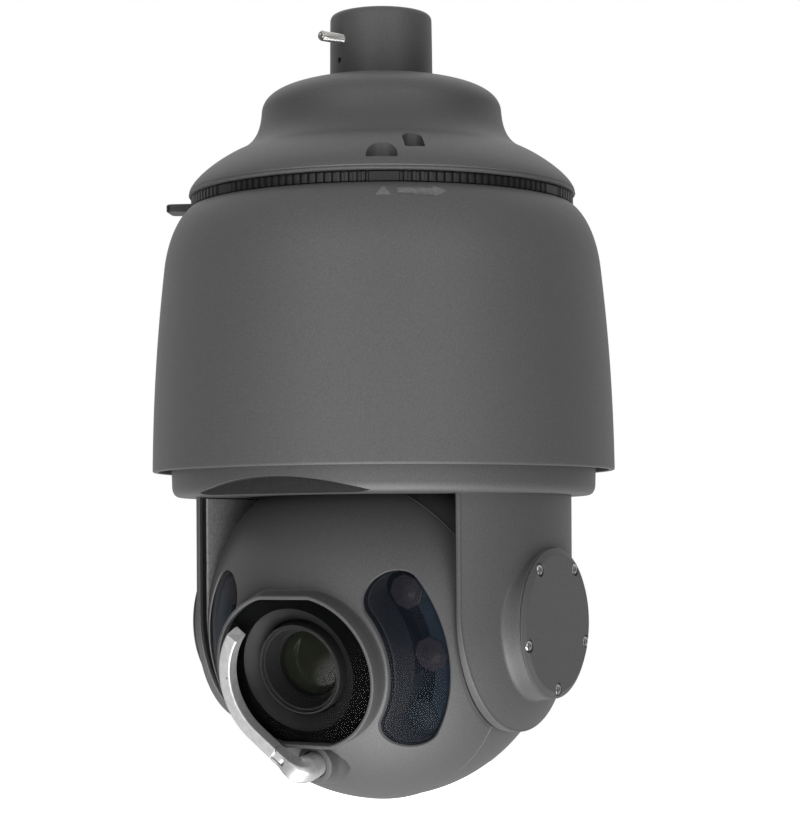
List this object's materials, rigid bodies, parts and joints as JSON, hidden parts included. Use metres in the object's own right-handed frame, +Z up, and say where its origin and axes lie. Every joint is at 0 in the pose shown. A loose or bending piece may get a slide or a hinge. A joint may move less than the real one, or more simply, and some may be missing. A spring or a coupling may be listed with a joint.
{
  "type": "ptz camera",
  "caption": "Outdoor pan-tilt-zoom camera: a ball head with oval window, infrared lamps and a wiper, tilting in a yoke under a drum housing with a threaded pendant neck.",
  "frame": {"origin": "centre of the neck's top face, on the pan axis", "axes": "+Z up along the pan axis, out of the neck; the lens faces -Y at rest and looks down 14.5 degrees; the tilt axis runs along X, 302.6 mm below the origin"},
  "size_m": [0.23, 0.23, 0.3906],
  "materials": {
    "paint": "fine-textured dark grey powder coat",
    "black_plastic": "matt",
    "rubber": "matt",
    "steel": "plain",
    "aluminium": "bead-blasted",
    "board": "solder mask",
    "dark_glass": "polished",
    "lamp_lens": "clear"
  },
  "bodies": {
    "housing": {"pendant_cap": "paint", "neck_set_screw": "steel", "cap_seal": "rubber", "upper_housing": "paint", "top_plate": "black_plastic", "inlet_connector": "black_plastic", "chassis_plate": "aluminium", "main_board": "board", "pan_bearing": "steel", "slip_ring_stator": "black_plastic", "pan_fixed_gear": "black_plastic"},
    "lock_ring": {"lock_ring": "black_plastic"},
    "pan": {"pan_base": "paint", "pan_spindle": "steel", "slip_ring_rotor": "black_plastic", "pan_motor": "steel", "right_arm": "paint", "right_arm_cover": "paint", "right_arm_gasket": "rubber", "right_hub_cover": "paint", "right_tilt_bearing": "steel", "left_arm": "paint", "left_arm_cover": "paint", "left_arm_gasket": "rubber", "left_hub_cover": "paint", "left_tilt_bearing": "steel", "hub_screw_1": "steel", "hub_screw_2": "steel", "hub_screw_3": "steel", "hub_screw_4": "steel", "hub_screw_5": "steel", "tilt_motor": "steel", "tilt_belt": "rubber"},
    "pan_pinion": {"pan_pinion": "steel"},
    "head": {"front_shell": "paint", "rear_shell": "paint", "shell_seal": "rubber", "ir_window_right": "dark_glass", "ir_window_left": "dark_glass", "ir_lens_right": "lamp_lens", "ir_lens_left": "lamp_lens", "ir_board_right": "board", "ir_board_left": "board", "window_glass": "dark_glass", "window_gasket": "rubber", "lens_baffle": "black_plastic", "lens_barrel": "black_plastic", "front_lens": "dark_glass", "camera_block": "black_plastic", "camera_bracket": "aluminium", "right_tilt_shaft": "steel", "left_tilt_shaft": "steel", "tilt_pulley": "aluminium", "wiper_motor": "steel", "wiper_seal": "rubber"},
    "tilt_motor_pulley": {"tilt_motor_pulley": "aluminium"},
    "wiper_hub": {"wiper_hub": "aluminium", "wiper_hinge_pin": "steel"},
    "wiper_arm": {"wiper_arm": "aluminium", "wiper_blade": "rubber"}
  },
  "joints": [
    {"name": "lock_ring_turn", "type": "hinge", "parent": "housing", "child": "lock_ring", "pos_m": [0, 0, -0.094], "axis": [0, 0, 1], "range_deg": [0, 20]},
    {"name": "pan", "type": "hinge", "parent": "housing", "child": "pan", "pos_m": [0, 0, -0.2], "axis": [0, 0, 1], "continuous": true},
    {"name": "pan_pinion_spin", "type": "hinge", "parent": "pan", "child": "pan_pinion", "pos_m": [0, 0.072, -0.194], "axis": [0, 0, 1], "continuous": true},
    {"name": "tilt", "type": "hinge", "parent": "pan", "child": "head", "pos_m": [0, 0, -0.3026], "axis": [1, 0, 0], "range_deg": [-29.5, 75.5]},
    {"name": "tilt_motor_pulley_spin", "type": "hinge", "parent": "pan", "child": "tilt_motor_pulley", "pos_m": [0.0842, 0, -0.2646], "axis": [1, 0, 0], "range_deg": [-88.5, 226.5]},
    {"name": "wiper_sweep", "type": "hinge", "parent": "head", "child": "wiper_hub", "pos_m": [0, -0.0733, -0.37062], "axis": [0, 0.9681, 0.2504], "range_deg": [0, 74]},
    {"name": "wiper_lift", "type": "hinge", "parent": "wiper_hub", "child": "wiper_arm", "pos_m": [-0.00978, -0.07921, -0.36537], "axis": [0.6794, -0.1837, 0.7104], "range_deg": [0, 30], "stiffness_Nm_per_rad": 0.05, "springref_deg": -28.65}
  ],
  "couplings": [
    {"joint": "pan_pinion_spin", "follows": "pan", "ratio": 5},
    {"joint": "tilt_motor_pulley_spin", "follows": "tilt", "ratio": 3}
  ]
}
